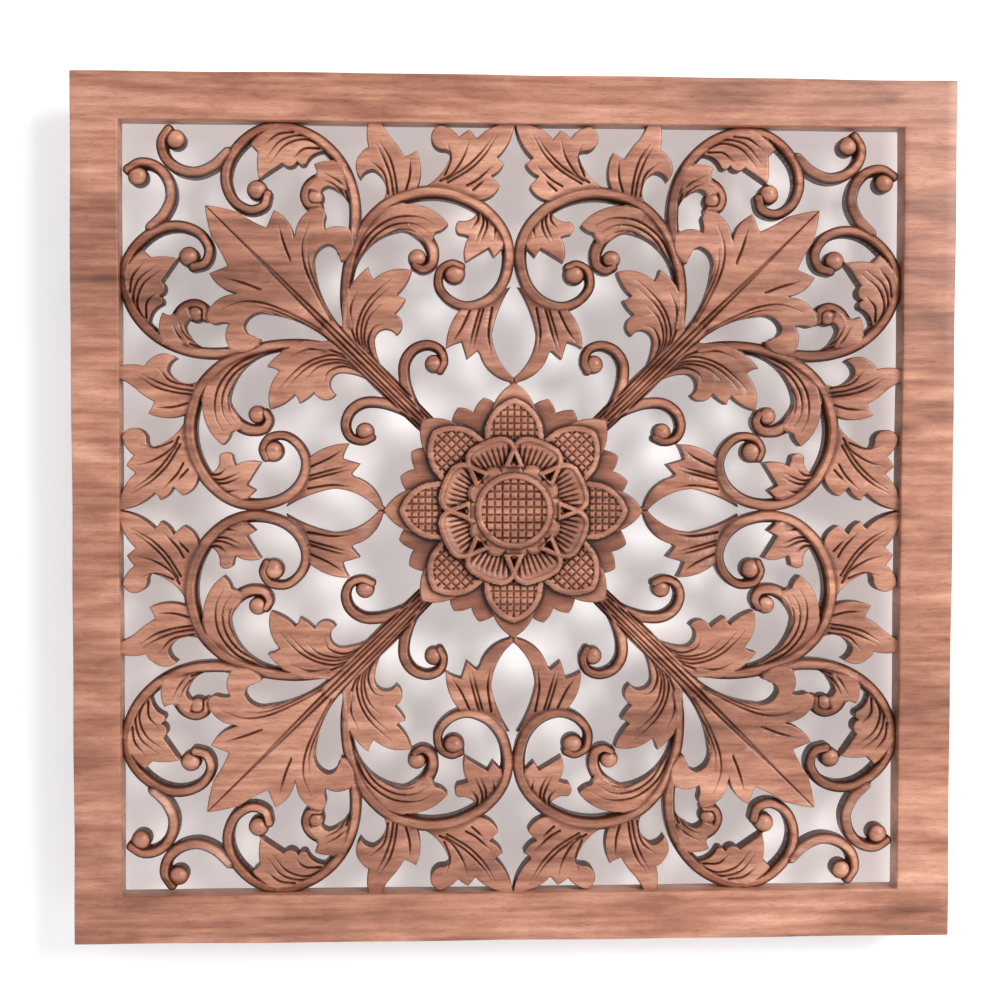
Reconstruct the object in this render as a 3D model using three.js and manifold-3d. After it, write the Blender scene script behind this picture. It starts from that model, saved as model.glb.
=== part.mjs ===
// A wall panel pierced and carved from one board: a plain frame round eightfold scrollwork, with a
// flower at its middle. Millimetres, +Z up, the carved face towards -Y, the back flat at y = 0.
// The origin is on the back of the top rail, at the middle of its length, where the panel hangs.
import * as THREE from "three";
import { mergeVertices } from "three/addons/utils/BufferGeometryUtils.js";
import Module from "manifold-3d";

// Board and frame
const WIDTH = 600;
const HEIGHT = 589;
const THICKNESS = 20;
const LEFT_STILE = 32.4;
const RIGHT_STILE = 36.7;
const TOP_RAIL = 33;
const BOTTOM_RAIL = 33.4;
const HANG_DROP = TOP_RAIL / 2;

// Heights of the carving above the flat back
const STEM_RIDGE = 15.5;
const STEM_SHOULDER = 10.5;
const TRUNK_RIDGE = 16.5;
const TRUNK_SHOULDER = 12.5;
const BUTTON_TOP = 16;
const LEAF_ROOT = 9.5;
const LEAF_TIP = 15.5;

// The pattern is drawn from its own centre and reaches the frame at PATTERN_REACH
const PATTERN_REACH = 263;
const RIDGE_LEAN = 0.4;
const CURVE_TOLERANCE = 1;
const TRIM_TOLERANCE = 0.8;
const LAST_TRIM = 0.2;
const SLIVER_AREA = 0.02;
const SMALLEST_TURN = 0.5;
const BUTTON_SIDES = 6;

// Stems of one eighth, from x = 0 to the diagonal: points [x, z] along the middle, widths at the
// start, middle and end, the side the ridge leans to (+1 is left of the way along), and the round
// button in the eye of the curl as [x, z, radius].
const STEMS = {
  scroll: {
    path: [[111, 126], [113, 140], [113, 153], [111, 168], [106, 184], [98, 197], [86, 208.5], [70, 215.5],
      [52, 217.5], [34, 213.5], [18, 203.5], [7, 189], [4, 173], [8, 156], [18, 144.5], [32, 140],
      [44, 144.5], [51, 154], [48, 162]],
    widths: [8, 9.5, 6],
    lean: 1,
    button: [42.5, 164, 9.2],
  },
  innerCurl: {
    path: [[70, 195], [60, 187], [55, 177], [58, 167]],
    widths: [10, 9, 6],
    lean: 1,
    button: [64.5, 170.5, 7.4],
  },
  lowCurl: {
    path: [[64, 66], [70, 77], [74, 91], [73.5, 102], [67.5, 110.5], [58, 113.5], [50.5, 108.5], [50, 102]],
    widths: [8, 8, 6],
    lean: 1,
    button: [52.8, 101.5, 7.4],
  },
  branch: {
    path: [[108, 186], [107, 204], [109, 219], [115, 234], [125.5, 247], [139, 256], [155, 260.5],
      [169, 258.5], [182, 250], [191, 237], [193, 223], [187.5, 210], [177, 205], [170, 210]],
    widths: [8, 8.5, 7],
    lean: -1,
    button: [172, 215, 8.8],
  },
  branchCurl: {
    path: [[114, 220], [127, 226.5], [137, 222], [140, 213], [136, 209]],
    widths: [9, 8, 6],
    lean: -1,
    button: [135, 212.5, 7.3],
  },
  cornerCurl: {
    path: [[192, 243], [201, 234.5], [213, 229.5], [225, 232], [233.5, 240], [234, 250]],
    widths: [8, 8, 7],
    lean: 1,
    button: [227, 252.5, 7.8],
  },
};

// Leaves of one eighth. The outline runs anticlockwise; each corner [x, z, bow] starts an edge that
// bows outwards by bow times its length (negative: inwards). The top is one slope, from LEAF_ROOT at
// the root up to LEAF_TIP at the tip.
const LEAVES = {
  crest: {
    outline: [[45, 214, 0], [66, 219, -0.12], [44, 240, -0.3], [50, 246, 0.38], [50, 262.5, 0.1],
      [37.5, 254.5, 0], [30.5, 259.5, 0], [25.5, 253.5, 0.08], [8, 264, 0], [0, 264, 0.1], [12, 241, 0],
      [7, 237, 0], [16, 228.5, 0], [10, 222, 0.15], [24, 212, 0]],
    root: [44, 214],
    tip: [24, 256],
  },
  side: {
    outline: [[74, 213, 0], [90, 209, -0.25], [95, 232, -0.15], [103.5, 226, 0.2], [103, 243, 0],
      [98, 247, 0.08], [97.5, 264, 0], [90, 264, 0], [74, 241, 0], [66, 245, 0.12], [66, 219, 0]],
    root: [78, 213],
    tip: [90, 256],
  },
  hanging: {
    outline: [[7, 185, 0], [14, 173, 0], [17.5, 179.5, 0], [33, 170, 0.12], [31, 187, 0], [38, 189, 0.2],
      [37, 198, -0.1], [24, 206, 0], [12, 196, 0]],
    root: [15, 202],
    tip: [30, 174],
  },
  inner: {
    outline: [[59, 182, -0.05], [75, 191, -0.17], [108, 160, 0], [105, 186, 0.16], [72, 209, 0.12],
      [44.5, 195.5, 0.1], [53, 190, 0]],
    root: [106, 172],
    tip: [46, 196],
  },
  low: {
    outline: [[3, 153, -0.05], [15, 121, -0.11], [0, 91.5, 0], [0, 86, 0.13], [22.5, 105, 0], [25, 109.5, 0],
      [32, 103.5, 0], [35.5, 115.5, 0], [46, 111, 0.1], [35, 139, 0], [20, 143, 0]],
    root: [22, 140],
    tip: [30, 106],
  },
  flank: {
    outline: [[98, 98, 0], [114, 124, 0.12], [98, 166, 0], [94.5, 157.8, 0.13], [69, 164, 0.08],
      [79, 147.5, 0], [73, 144.5, 0], [80.5, 134.5, 0.32], [79.5, 119.8, -0.42], [94, 115, -0.11],
      [78, 86, 0]],
    root: [98, 104],
    tip: [84, 160],
  },
  hook: {
    outline: [[122, 122, 0], [150, 168, 0.06], [147, 188, 0.15], [134, 205.5, 0.3], [126.5, 200, 0],
      [127, 191, 0.16], [110, 190.5, 0.25], [117, 170, 0], [119, 175, -0.3], [133, 172, -0.08], [116, 125, 0]],
    root: [121, 126],
    tip: [136, 202],
  },
  branchLeaf: {
    outline: [[107, 200, 0], [110.5, 206, -0.15], [125, 220.5, -0.1], [131, 216, 0], [139, 219, 0],
      [132.5, 226, 0], [134.5, 235, 0.12], [114, 235, 0]],
    root: [109, 208],
    tip: [133, 232],
  },
  arch: {
    outline: [[112.5, 234, 0], [121, 241.5, -0.12], [131, 243.5, -0.08], [139.5, 235.5, 0.3], [145.5, 237, 0.3],
      [155.5, 235.5, 0], [171, 225, 0], [171.5, 243, 0], [176.5, 248, 0], [158, 260, 0], [130, 250, 0]],
    root: [120, 243],
    tip: [170, 232],
  },
};

// The trunk on the diagonal, from under the flower to where the great leaf opens.
const TRUNK = { path: [[52, 52], [78, 78], [100, 100], [130, 130]], widths: [13, 15, 17], lean: 0 };

// Half of the great leaf on the diagonal. Its slope also rises away from the diagonal, so the two halves
// meet in a valley.
const GREAT_HALF = {
  outline: [[118, 118, 0], [207, 207, 0], [185, 202, 0], [166, 192, 0], [161, 204, 0.12], [148, 188, 0],
    [146, 172, 0]],
  root: [124, 118],
  tip: [162, 204],
};

// The flower, from its outermost ring of petals to the disc at its heart. Each outline is half a petal,
// as [degrees from its middle, radius]; the first petal's middle is turned from +X. The top runs from
// rimTop at the outline to bedTop at the bed radius and is level inside that.
const FLOWER = [
  {
    petals: 8,
    turned: 0,
    half: [[0, 88], [11.4, 74], [16, 80.3], [22.5, 70.4]],
    rimTop: 10.5,
    bed: 50,
    bedTop: 8,
  },
  {
    petals: 8,
    turned: 0,
    half: [[0, 78], [8, 71.7], [15.3, 64.3], [22.5, 54]],
    rimTop: 14.5,
    bed: 46,
    bedTop: 11,
  },
  {
    petals: 8,
    turned: 22.5,
    half: [[0, 51.7], [11, 50.4], [18, 47.5], [22.5, 42]],
    rimTop: 18,
    bed: 31,
    bedTop: 12,
  },
  { petals: 12, turned: 0, half: [[0, 31], [9, 30], [15, 27.5]], rimTop: 17, bed: 20, bedTop: 17 },
  { petals: 18, turned: 0, half: [[0, 25.2], [10, 25.2]], rimTop: 20, bed: 22.5, bedTop: 18.2 },
];

const wasm = await Module();
wasm.setup();

const mix = (a, b, share) => a + (b - a) * share;

// A closed solid from corner points [x, y, z] and the triangles between them.
function solidOf(points, triangles) {
  const geometry = new THREE.BufferGeometry();
  geometry.setAttribute("position", new THREE.Float32BufferAttribute(points.flat(), 3));
  geometry.setIndex(triangles.flat());
  return solidFrom(geometry);
}

function solidFrom(geometry) {
  const bare = geometry.clone();
  bare.deleteAttribute("normal");
  bare.deleteAttribute("uv");
  const merged = mergeVertices(bare, 1e-4);
  return new wasm.Manifold(
    new wasm.Mesh({
      numProp: 3,
      vertProperties: merged.attributes.position.array,
      triVerts: new Uint32Array(merged.index.array),
    }),
  );
}

function geometryOf(solid) {
  const mesh = solid.getMesh();
  const geometry = new THREE.BufferGeometry();
  geometry.setAttribute("position", new THREE.BufferAttribute(mesh.vertProperties, 3));
  geometry.setIndex(new THREE.BufferAttribute(mesh.triVerts, 1));
  return geometry;
}

const joined = (solids) => solids.reduce((all, next) => all.add(next));

// Keeps the points that a curve needs to stay within the tolerance, always the first and last.
function thinned(points) {
  const kept = [0];
  const nearest = new THREE.Vector3();
  for (let to = 2; to < points.length; to++) {
    const from = kept.at(-1);
    const chord = new THREE.Line3(points[from], points[to]);
    const strays = points
      .slice(from + 1, to)
      .some((p) => chord.closestPointToPoint(p, true, nearest).distanceTo(p) > CURVE_TOLERANCE);
    if (strays) kept.push(to - 1);
  }
  return [...kept, points.length - 1];
}

// A solid through a row of like sections. Each section lists its corners in the same order.
function loft(sections) {
  const size = sections[0].length;
  const points = sections.flat();
  const triangles = [];
  for (let row = 0; row + 1 < sections.length; row++) {
    for (let i = 0; i < size; i++) {
      const a = row * size + i;
      const b = row * size + ((i + 1) % size);
      triangles.push([a, b, a + size], [b, b + size, a + size]);
    }
  }
  const last = points.length - size;
  for (let i = 1; i + 1 < size; i++) {
    triangles.push([0, i + 1, i], [last, last + i, last + i + 1]);
  }
  return solidOf(points, triangles);
}

const flat = ([x, z]) => new THREE.Vector3(x, 0, z);

// Width along a stem: given at its start, middle and end.
function widthAt([start, middle, end], share) {
  return share < 0.5 ? mix(start, middle, share * 2) : mix(middle, end, share * 2 - 1);
}

// A stem with a flat back, upright sides and a ridge that leans to one side.
function stem({ path, widths, lean }, ridge = STEM_RIDGE, shoulder = STEM_SHOULDER) {
  const curve = new THREE.CatmullRomCurve3(path.map(flat), false, "centripetal");
  const steps = path.length * 8;
  const dense = Array.from({ length: steps + 1 }, (_, i) => curve.getPointAt(i / steps));
  const sections = thinned(dense).map((i) => {
    const { x, z } = dense[i];
    const along = curve.getTangentAt(i / steps);
    const half = widthAt(widths, i / steps) / 2;
    const corner = (side, height) => [x - along.z * half * side, -height, z + along.x * half * side];
    const crest = corner(RIDGE_LEAN * lean, ridge);
    const walls = [corner(1, 0), corner(1, shoulder), crest, corner(-1, shoulder), corner(-1, 0)];
    return walls.filter((_, i) => lean === 0 || i !== 2 - lean);
  });
  return loft(sections);
}

// The round button in the eye of a curl: a short post with a domed top.
function button([x, z, radius]) {
  const profile = [[0, 0], [radius, 0], [radius, BUTTON_TOP - radius * 0.7], [0, BUTTON_TOP]];
  const post = new THREE.LatheGeometry(profile.map((p) => new THREE.Vector2(...p)), BUTTON_SIDES);
  return solidFrom(post.rotateX(Math.PI).translate(x, 0, z));
}

// Points along an edge from one corner to the next, bowed to the right of the way.
function bowedEdge([x0, z0, bow], [x1, z1]) {
  const from = new THREE.Vector2(x0, z0);
  const chord = new THREE.Vector2(x1 - x0, z1 - z0);
  if (bow === 0) return [from];
  const turn = 4 * Math.atan(2 * Math.abs(bow));
  const radius = chord.length() / (2 * Math.sin(turn / 2));
  const steps = Math.ceil(turn / (2 * Math.acos(1 - Math.min(CURVE_TOLERANCE / radius, 0.5))));
  const outward = new THREE.Vector2(chord.y, -chord.x).normalize().multiplyScalar(Math.sign(bow));
  return Array.from({ length: steps }, (_, i) => {
    const angle = (turn * i) / steps - turn / 2;
    const across = radius * Math.sin(angle) + chord.length() / 2;
    const out = radius * (Math.cos(angle) - Math.cos(turn / 2));
    return from.clone().addScaledVector(chord, across / chord.length()).addScaledVector(outward, out);
  });
}

const bowedOutline = (corners) =>
  corners.flatMap((corner, i) => bowedEdge(corner, corners[(i + 1) % corners.length]));

// A leaf: a plate with a flat back whose top slopes from root to tip.
function leaf({ outline, root, tip }) {
  const shape = new THREE.Shape(bowedOutline(outline));
  const plate = new THREE.ExtrudeGeometry(shape, { depth: 1, bevelEnabled: false });
  const rootAt = new THREE.Vector2(...root);
  const along = new THREE.Vector2(...tip).sub(rootAt);
  const position = plate.attributes.position;
  for (let i = 0; i < position.count; i++) {
    const spot = new THREE.Vector2().fromBufferAttribute(position, i);
    const top = mix(LEAF_ROOT, LEAF_TIP, spot.clone().sub(rootAt).dot(along) / along.lengthSq());
    position.setXYZ(i, spot.x, -top * position.getZ(i), spot.y);
  }
  return solidFrom(plate);
}

// Places a solid drawn in one eighth into another, by swapping x with z and changing their signs.
function placed(solid, swap, signX, signZ) {
  const geometry = geometryOf(solid);
  const position = geometry.attributes.position;
  for (let i = 0; i < position.count; i++) {
    const across = swap ? position.getZ(i) : position.getX(i);
    const up = swap ? position.getX(i) : position.getZ(i);
    position.setXYZ(i, across * signX, position.getY(i), up * signZ);
  }
  if (swap !== signX * signZ < 0) {
    const index = geometry.index.array;
    for (let i = 0; i < index.length; i += 3) {
      [index[i], index[i + 1]] = [index[i + 1], index[i]];
    }
  }
  return solidFrom(geometry);
}

// Drops the corners a joined solid hardly needs: a corner is drawn onto a neighbour where that moves
// none of its faces by more than the tolerance, turns none over and keeps the surface closed.
function trimmed(solid, tolerance) {
  const mesh = solid.getMesh();
  const points = Array.from({ length: mesh.numVert }, (_, i) =>
    new THREE.Vector3().fromArray(mesh.vertProperties, i * mesh.numProp),
  );
  const facesOf = points.map(() => new Set());
  for (let i = 0; i < mesh.triVerts.length; i += 3) {
    const face = [...mesh.triVerts.slice(i, i + 3)];
    face.forEach((corner) => facesOf[corner].add(face));
  }
  const neighbours = (corner) => new Set([...facesOf[corner]].flat().filter((other) => other !== corner));
  const normalOf = (corners) => new THREE.Triangle(...corners).getNormal(new THREE.Vector3());
  const areaOf = (corners) => new THREE.Triangle(...corners).getArea();
  // How far moving a corner onto a neighbour moves its faces, or Infinity where it can't go.
  const strayOf = (corner, onto) => {
    const around = neighbours(onto);
    if ([...neighbours(corner)].filter((other) => around.has(other)).length !== 2) return Infinity;
    let stray = 0;
    for (const face of facesOf[corner]) {
      const before = face.map((i) => points[i]);
      const normal = normalOf(before);
      stray = Math.max(stray, Math.abs(points[onto].clone().sub(points[corner]).dot(normal)));
      if (face.includes(onto)) continue;
      const after = face.map((i) => points[i === corner ? onto : i]);
      if (areaOf(after) < SLIVER_AREA || normalOf(after).dot(normal) < SMALLEST_TURN) return Infinity;
    }
    return stray;
  };
  for (const share of [0.02, 0.3, 0.6, 1]) {
    for (const corner of points.keys()) {
      const choices = [...neighbours(corner)].map((onto) => ({ onto, stray: strayOf(corner, onto) }));
      const nearer = (best, one) => (one.stray < best.stray ? one : best);
      const { onto, stray } = choices.reduce(nearer, { stray: Infinity });
      if (stray > tolerance * share) continue;
      for (const face of [...facesOf[corner]]) {
        if (face.includes(onto)) {
          face.forEach((i) => facesOf[i].delete(face));
        } else {
          face[face.indexOf(corner)] = onto;
          facesOf[onto].add(face);
        }
      }
      facesOf[corner].clear();
    }
  }
  const kept = new Set(facesOf.flatMap((faces) => [...faces]));
  return solidOf(points.map((p) => p.toArray()), [...kept]);
}

function scrollwork() {
  const stems = Object.values(STEMS).flatMap((one) => [stem(one), button(one.button)]);
  const leaves = Object.values(LEAVES).map(leaf);
  const eighth = trimmed(joined([...stems, ...leaves]), TRIM_TOLERANCE);
  const trunk = stem(TRUNK, TRUNK_RIDGE, TRUNK_SHOULDER);
  const greatHalf = leaf(GREAT_HALF);
  const halves = [greatHalf, placed(greatHalf, true, 1, 1)];
  const quarter = joined([eighth, placed(eighth, true, 1, 1), trunk, ...halves]);
  const half = quarter.add(placed(quarter, false, -1, 1));
  return half.add(placed(half, false, 1, -1));
}

// One ring of the flower, all its petals in one solid.
function petalRing({ petals, turned, half, rimTop, bed, bedTop }) {
  const otherHalf = half.slice(1, -1).map(([degrees, radius]) => [-degrees, radius]);
  const whole = [...half, ...otherHalf];
  const rays = Array.from({ length: petals }, (_, k) =>
    whole.map(([degrees, radius]) => [turned + (k * 360) / petals + degrees, radius]),
  ).flat();
  rays.sort((a, b) => a[0] - b[0]);
  const ring = (radiusOf, height) =>
    rays.map(([degrees, radius]) => {
      const angle = THREE.MathUtils.degToRad(degrees);
      return [radiusOf(radius) * Math.cos(angle), -height, radiusOf(radius) * Math.sin(angle)];
    });
  return loft([ring((r) => r, 0), ring((r) => r, rimTop), ring(() => bed, bedTop)]);
}

function frame() {
  const right = WIDTH / 2;
  const top = HEIGHT / 2;
  const rectangle = (x0, z0, x1, z1) =>
    [[x0, z0], [x1, z0], [x1, z1], [x0, z1]].map((p) => new THREE.Vector2(...p));
  const board = new THREE.Shape(rectangle(-right, -top, right, top));
  const opening = rectangle(-right + LEFT_STILE, -top + BOTTOM_RAIL, right - RIGHT_STILE, top - TOP_RAIL);
  board.holes.push(new THREE.Path(opening));
  const ring = new THREE.ExtrudeGeometry(board, { depth: THICKNESS, bevelEnabled: false });
  return solidFrom(ring.rotateX(Math.PI / 2));
}

// The carving is stretched a little each way to reach all four sides of the opening.
function carving() {
  const width = WIDTH - LEFT_STILE - RIGHT_STILE;
  const height = HEIGHT - TOP_RAIL - BOTTOM_RAIL;
  const flower = trimmed(joined(FLOWER.map(petalRing)), TRIM_TOLERANCE);
  const geometry = geometryOf(scrollwork().add(flower));
  geometry.scale(width / 2 / PATTERN_REACH, 1, height / 2 / PATTERN_REACH);
  geometry.translate((LEFT_STILE - RIGHT_STILE) / 2, 0, (BOTTOM_RAIL - TOP_RAIL) / 2);
  return solidFrom(geometry);
}

const panel = trimmed(frame().add(carving()), LAST_TRIM);
const wood = new THREE.MeshStandardMaterial({ color: 0x7a3f28, roughness: 0.55, metalness: 0 });
const mesh = new THREE.Mesh(geometryOf(panel), wood);
mesh.name = "panel";
mesh.position.z = HANG_DROP - HEIGHT / 2;
const group = new THREE.Group();
group.add(mesh);
export default group;
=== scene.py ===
# A carved wall panel: a plain frame round eightfold scrollwork with a lotus at its middle, cut right
# through one board of reddish hardwood. The carving is shaped as a relief over its own outline.
import math

import bpy
import numpy as np
from mathutils import Matrix, Vector, geometry


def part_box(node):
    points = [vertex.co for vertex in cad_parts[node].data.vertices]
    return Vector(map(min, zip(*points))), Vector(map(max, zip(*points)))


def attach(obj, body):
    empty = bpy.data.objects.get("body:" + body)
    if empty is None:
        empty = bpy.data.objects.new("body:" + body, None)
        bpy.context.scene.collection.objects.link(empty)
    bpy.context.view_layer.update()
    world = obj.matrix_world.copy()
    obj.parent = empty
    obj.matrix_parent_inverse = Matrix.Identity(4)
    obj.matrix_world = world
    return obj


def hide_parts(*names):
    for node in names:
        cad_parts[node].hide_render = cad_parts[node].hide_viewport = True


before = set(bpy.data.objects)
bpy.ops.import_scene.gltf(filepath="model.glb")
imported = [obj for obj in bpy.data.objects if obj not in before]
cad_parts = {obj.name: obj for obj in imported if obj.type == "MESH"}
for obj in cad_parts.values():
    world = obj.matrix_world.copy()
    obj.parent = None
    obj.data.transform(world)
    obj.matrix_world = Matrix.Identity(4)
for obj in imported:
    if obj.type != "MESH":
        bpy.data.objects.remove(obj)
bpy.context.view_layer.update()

MM = 0.001

# The board and its frame, in millimetres
LEFT_STILE = 32.4
RIGHT_STILE = 36.7
TOP_RAIL = 33.0
BOTTOM_RAIL = 33.4
LOW, HIGH = [[c / MM for c in corner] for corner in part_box("panel")]
OPENING = (LOW[0] + LEFT_STILE, LOW[2] + BOTTOM_RAIL, HIGH[0] - RIGHT_STILE, HIGH[2] - TOP_RAIL)
CENTRE = ((OPENING[0] + OPENING[2]) / 2, (OPENING[1] + OPENING[3]) / 2)

# The pattern is drawn from its own centre and stretched a little each way to fill the opening
REACH = 263.0
STRETCH = ((OPENING[2] - OPENING[0]) / 2 / REACH, (OPENING[3] - OPENING[1]) / 2 / REACH)
TUCK = 1.6          # how far the carving runs into the frame
LOTUS_LAP = 0.15    # how far the scrollwork runs into the lotus
EDGE = 1.0          # how far the relief is worked out beyond an outline
RASTER = 0.35       # spacing of the relief's samples
EXTENT = 272.0      # the samples of a quarter reach this far from the centre
PAST_AXIS = 40      # samples of the eighth past the axis, where its stems cross to the next eighth
LOTUS_EXTENT = 92.0
LOTUS_REACH = 90.0
CELL = 0.5
NEAREST = 0.14      # no outline point comes closer than this share of a cell to a grid point
MOST_FACES = 176000
FAR = 1e9

# Dark wax, and painted shade where light falls short, darken the carving below a height (the first value),
# fully the second value lower, and where a spot lies below the mean height round it: (how far round, the
# drop at which the darkening is full, its strength).
WAX_AND_SHADE_FROM = 13.2
WAX_AND_SHADE_OVER = 12
WAX_AND_SHADE_HOLLOWS = [(1.4, 0.9, 0.75), (4.0, 3.0, 0.5)]
WAX_AND_SHADE_RIM = 0.3       # how far outside the outline a height still counts
CREASE = math.radians(38)

STEM_TOP = 15.2
STEM_OUTER_DROP = 4.2
STEM_INNER_DROP = 5.0
RIDGE_LEAN = 0.38
BEAD = 0.7
BEAD_WIDTH = 0.75
BALL_TOP = 15.6
TRUNK_TOP = 15.0
TRUNK_DROP = 4.0
LEAF_ROOT = 10.5
LEAF_TIP = 15.6
LEAF_ROUND = 1.3
LEAF_RISE = (-0.35, 0.75)   # shares of the way from root to tip between which a leaf rises
LOTUS_DIP = 5.5             # how far the carving dips to pass under the lotus
DIP_RADII = (86, 112)

# Stems of one eighth: points along the middle, widths at the start, middle and end, the side the
# ridge leans to (1 is left of the way along) and the ball in the eye of the curl.
STEMS = [
    ([(111, 126), (113, 140), (113, 153), (111, 168), (106, 184), (98, 197), (86, 208.5), (70, 215.5),
      (52, 217.5), (34, 213.5), (18, 203.5), (7, 189), (4, 173), (8, 156), (18, 144.5), (32, 140),
      (44, 144.5), (51, 154), (49.5, 164.5), (42, 169), (36, 167)], (8, 9.5, 6), 1, (40.5, 162.5, 7.6)),
    ([(70, 195), (60, 187), (55, 177), (56, 168.5), (61.5, 165), (67, 167)], (10, 9, 6), 1,
     (65.5, 172.5, 6.3)),
    ([(64, 66), (70, 77), (74, 91), (73.5, 102), (67.5, 110.5), (58, 113.5), (50, 110), (47.5, 102),
      (50, 96)], (8, 8, 6), 1, (54, 100.5, 6.4)),
    ([(108, 186), (107, 204), (109, 219), (115, 234), (125.5, 247), (139, 256), (155, 260.5),
      (169, 258.5), (182, 250), (191, 237), (193, 223), (187.5, 210), (177, 204.3), (168, 207.5),
      (165.5, 215)], (8, 8.5, 7), -1, (172.5, 218, 7)),
    ([(114, 220), (127, 226.5), (137, 222), (140.5, 214), (137.5, 207.5), (131, 207)], (9, 8, 6), -1,
     (134, 213.3, 6.3)),
    ([(192, 243), (201, 234.5), (213, 229.5), (225, 232), (233.5, 240), (235.5, 250), (231, 258)],
     (8, 8, 7), 1, (226.5, 251.5, 6.8)),
]
TRUNK = ([(50, 50), (78, 78), (100, 100), (124, 124)], (13, 15, 13), 0, None)

# Leaves of one eighth: the outline runs anticlockwise, and each corner (x, z, bow) starts an edge that
# bows outwards by bow times its length; then the root, the tip and the veins cut along the leaf.
LEAVES = [
    ([(45, 214, 0), (66, 219, -.12), (44, 240, -.3), (46.5, 245.8, 0), (50, 246, .38), (50, 262.5, .1),
      (37.5, 254.5, .05), (30.5, 259.5, 0), (25.5, 253.5, .08), (8, 264, 0), (0, 266, .1), (12, 241, -.1),
      (7, 237, .1), (16, 228.5, 0), (10, 222, .15), (24, 212, 0)], (44, 214), (24, 256),
     [[(45, 224), (30, 233), (20, 243), (12, 256)], [(46, 226), (32, 235), (22, 245), (15, 255)],
      [(50, 225), (42, 230), (34, 242), (31, 252)], [(47, 229), (43, 240), (45, 250)],
      [(32, 222), (25, 226), (15, 235)], [(28, 219), (20, 226)]]),
    ([(74, 212, 0), (90, 209, -.25), (95, 232, -.15), (103.5, 226, .2), (103, 243, .1), (98, 247, .08),
      (97.5, 266, 0), (90, 266, -.05), (83, 253.5, .04), (74, 241, -.05), (66, 245, .12), (66, 219, 0)],
     (78, 213), (90, 256),
     [[(73, 219), (70.5, 228), (70, 239)], [(79, 217), (80.5, 228), (84, 240), (91, 251)],
      [(81.5, 216), (83.5, 228), (88, 240), (93, 249)], [(85, 216), (88, 230), (97, 238)]]),
    ([(5, 188, .08), (14, 173.5, 0), (17.5, 179.5, 0), (33, 170, .12), (31, 187, -.05), (38, 189, .1),
      (39.8, 194, .15), (37, 198, -.1), (29, 199.5, -.1), (24, 207, 0), (12, 199, 0)], (15, 202), (30, 174),
     [[(14, 203), (12.5, 195), (14, 186)], [(20, 206), (18.5, 195), (23, 183)],
      [(22, 206), (21, 197), (26, 184)], [(25, 206), (24.5, 199), (29, 193)]]),
    ([(58, 182, -.05), (75, 191, -.17), (108, 160, 0), (113, 165, 0), (106, 186, .16), (72, 209, .12),
      (44.5, 195.5, .1), (53, 190, 0)], (106, 172), (46, 196),
     [[(107, 172), (98, 188), (82, 199), (64, 200), (54, 195)],
      [(105, 170), (94, 187), (80, 195), (66, 195), (58, 190)],
      [(103, 168), (92, 183), (78, 191.5), (66, 190), (59, 186)]]),
    ([(2, 154, -.05), (15, 121, -.11), (0, 91.5, 0), (0, 84, 0), (3, 88.5, .13), (22.5, 105, -.1),
      (25, 109.5, 0), (32, 103.5, 0), (35.5, 115.5, -.05), (46, 111, .1), (35.5, 139, 0), (20, 144, 0)],
     (22, 140), (30, 106),
     [[(15, 139), (17.5, 122), (16, 108)], [(21, 138), (25, 123), (28, 111)],
      [(23.5, 138), (27.5, 124), (30.5, 112)], [(30, 137), (36, 124), (42, 115)]]),
    ([(106, 106, 0), (116, 124, 0), (114.5, 142, .09), (98, 166, -.08), (94.5, 157.8, .13), (69, 164, .08),
      (79, 147.5, -.1), (73, 144.5, .05), (80.5, 134.5, .32), (79.5, 119.8, -.42), (94, 115, -.11),
      (78, 86, 0), (86, 86, 0)], (98, 104), (84, 160),
     [[(100, 104), (106, 120), (104, 132), (99, 142), (92, 150), (83, 158)],
      [(98, 103), (103, 118), (101.5, 131), (95, 142), (84, 152)],
      [(104, 110), (110, 126), (109.5, 140), (105, 150)],
      [(96, 103), (101, 116), (100, 126), (97, 133), (90, 140)],
      [(94, 101), (98.5, 114), (97, 121), (94, 125.5), (88, 127.5)]]),
    ([(122, 122, 0), (150, 168, .06), (147, 188, .15), (134, 205.5, .3), (126.5, 200, -.08), (127, 191, .16),
      (110, 190.5, .25), (117, 170, -.1), (119, 175, -.2), (126, 181, -.2), (134, 166, -.08), (116, 125, 0)],
     (121, 126), (136, 202),
     [[(122, 128), (134, 150), (141, 168), (142, 182), (137, 196)],
      [(121, 130), (132, 151), (138, 168), (138, 180)],
      [(120, 132), (130, 152), (135.5, 167), (134, 176)]]),
    ([(118, 118, 0), (207, 207, .02), (185, 202.5, -.03), (166, 192, 0), (161, 204, .12), (148, 188, 0),
      (146, 172, 0)], (124, 118), (162, 204),
     [[(150, 170), (154, 180), (158, 194)]]),
    ([(108, 188, -.05), (110.5, 206, -.15), (125, 220.5, -.1), (131, 216, 0), (139, 219, .1),
      (132.5, 226, -.1), (134.5, 235, .12), (114, 235, 0), (106, 215, 0)], (109, 208), (133, 232),
     [[(109.5, 205), (116, 222), (128, 229.5)], [(110, 202), (117.5, 219), (129, 225)]]),
    ([(112.5, 234, 0), (121, 241.5, -.12), (131, 243.5, -.12), (139.5, 235.5, .3), (145.5, 237, .3),
      (155.5, 235.5, 0), (171, 225, .05), (171.5, 243, 0), (176.5, 248, .05), (160, 261.5, 0),
      (139, 256.5, 0), (124, 246, 0)], (120, 243), (170, 232),
     [[(128, 247.5), (140, 252), (153, 248), (163, 236)], [(130, 250), (142, 254.5), (156, 251), (166, 239)],
      [(131, 246), (141, 245.5), (148, 239)], [(148, 256.5), (158, 255), (167, 248)]]),
]
# Flutes that run along the trunk and fan out into the leaves on it
FLUTES = [
    [(62, 64.2), (100, 102.4), (125, 127.2), (160, 161.4), (195, 195.6)],
    [(57, 62.5), (90, 95.5), (112, 119), (123, 133)],
    [(56, 64.5), (86, 94.5), (98, 108)],
]
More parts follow.
